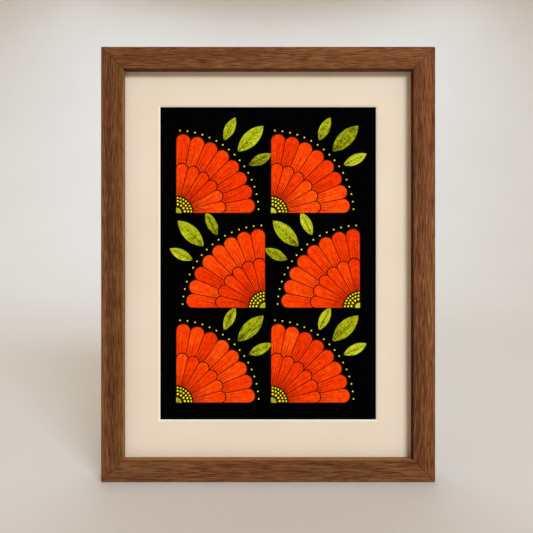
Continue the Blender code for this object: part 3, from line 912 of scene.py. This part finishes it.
def add_stage():
    """A pale round floor that curves up into a low wall, far outside the cameras."""
    material, tree, shader = new_finish("pale_floor", 0.9, shine=0.1)
    cloud = grain_noise(tree, placed(tree, (1.5, 1.5, 1.5)), 2.0, 0.5)
    pale = coloured(tree, cloud, [(0.3, (0.77, 0.765, 0.76, 1)), (0.7, (0.79, 0.785, 0.78, 1))])
    plug(tree, shader.inputs["Base Color"], pale)
    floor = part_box("rail_bottom")[0].z - 0.3 * MM
    reach, sweep, wall = 3.0, 4.5, 1.5
    turn = np.linspace(0, QUARTER, 24)[1:]
    flat = np.array([0.02, 0.4, 0.8, 1.4, 2.0, 2.8, reach])
    radius = np.concatenate([flat, reach + sweep * np.sin(turn), [reach + sweep]])
    height = np.concatenate([0 * flat, sweep * (1 - np.cos(turn)), [sweep + wall]])
    angle = np.linspace(0, 2 * np.pi, 96, endpoint=False)
    x, y = radius[:, None] * np.cos(angle), radius[:, None] * np.sin(angle)
    points = np.stack([x, y, (floor + height)[:, None] + 0 * x], -1).reshape(-1, 3)
    corners = np.arange(len(points)).reshape(len(radius), -1)
    beside = np.roll(corners, -1, axis=1)
    quads = np.stack([corners[:-1], corners[1:], beside[1:], beside[:-1]], -1).reshape(-1, 4)
    mesh = bpy.data.meshes.new("studio_floor")
    mesh.from_pydata(points.tolist(), [], quads.tolist() + [corners[0].tolist()])
    mesh.materials.append(material)
    mesh.shade_smooth()
    stage = bpy.data.objects.new("studio_floor", mesh)
    bpy.context.scene.collection.objects.link(stage)


def softbox(name, place, aim, size, power, colour, spread=180.0):
    """A rectangular area light at a place, turned to face a point, with a spread in degrees."""
    light = bpy.data.lights.new(name, "AREA")
    light.shape = "RECTANGLE"
    light.size, light.size_y = size
    light.energy = power
    light.color = colour
    light.spread = math.radians(spread)
    lamp = bpy.data.objects.new(name, light)
    bpy.context.scene.collection.objects.link(lamp)
    lamp.location = place
    away = Vector(place) - Vector(aim)
    lamp.rotation_euler = away.to_track_quat("Z", "Y").to_euler()
    lamp.visible_camera = False
    return lamp


def add_lights():
    """A key light from the upper right in front, a light over what is behind, and warm air."""
    key, over = (2.03, -4.6, 1.75), (0.0, 4.4, 3.6)
    softbox("key_light", key, (0.0, 0.0, -0.2), (1.93, 1.3), 21.4, (0.7, 0.84, 1.0), spread=50)
    softbox("overhead_light", over, (0.0, 4.4, 0.0), (5.0, 4.4), 140, (0.67, 0.83, 1.0))
    world = bpy.data.worlds.new("studio")
    world.use_nodes = True
    sky = world.node_tree.nodes["Background"]
    sky.inputs["Color"].default_value = (1.0, 0.7, 0.36, 1)
    sky.inputs["Strength"].default_value = 0.57
    scene = bpy.context.scene
    scene.world = world
    scene.view_settings.view_transform = "Standard"


PRINT_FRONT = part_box("print")[0].y
PICTURE_CENTRE = np.array([0.0, (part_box("print")[0].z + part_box("print")[1].z) / 2])

add_camera()
add_stage()
add_lights()
# Inner-wall colours: painted light on the left and bottom walls, which face the key light, and painted shade
# on the right and top walls, which are turned away from it
PAINTED_LIT_EDGE = (190, 130, 82)
PAINTED_SHADE_EDGE = (36, 18, 7)
# The tones 0.94, 1.07, 1.03 and 0.93 are painted light: the right and top rails are lighter and the left and
# bottom rails darker, as the key light comes from the upper right
dress("rail_left", walnut("left", "Z", "X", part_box("rail_left")[1].x, 0.94, PAINTED_LIT_EDGE, 0.55))
dress("rail_right", walnut("right", "Z", "X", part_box("rail_right")[0].x, 1.07, PAINTED_SHADE_EDGE, 0.85))
dress("rail_top", walnut("top", "X", "Z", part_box("rail_top")[0].z, 1.03, PAINTED_SHADE_EDGE, 0.45))
dress("rail_bottom", walnut("bottom", "X", "Z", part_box("rail_bottom")[1].z, 0.93, PAINTED_LIT_EDGE, 0.6))
dress("glazing", clear_glass())
dress("mount_board", foam_board())
dress("backing_board", hardboard())
add_mat()
add_print()
add_fittings()
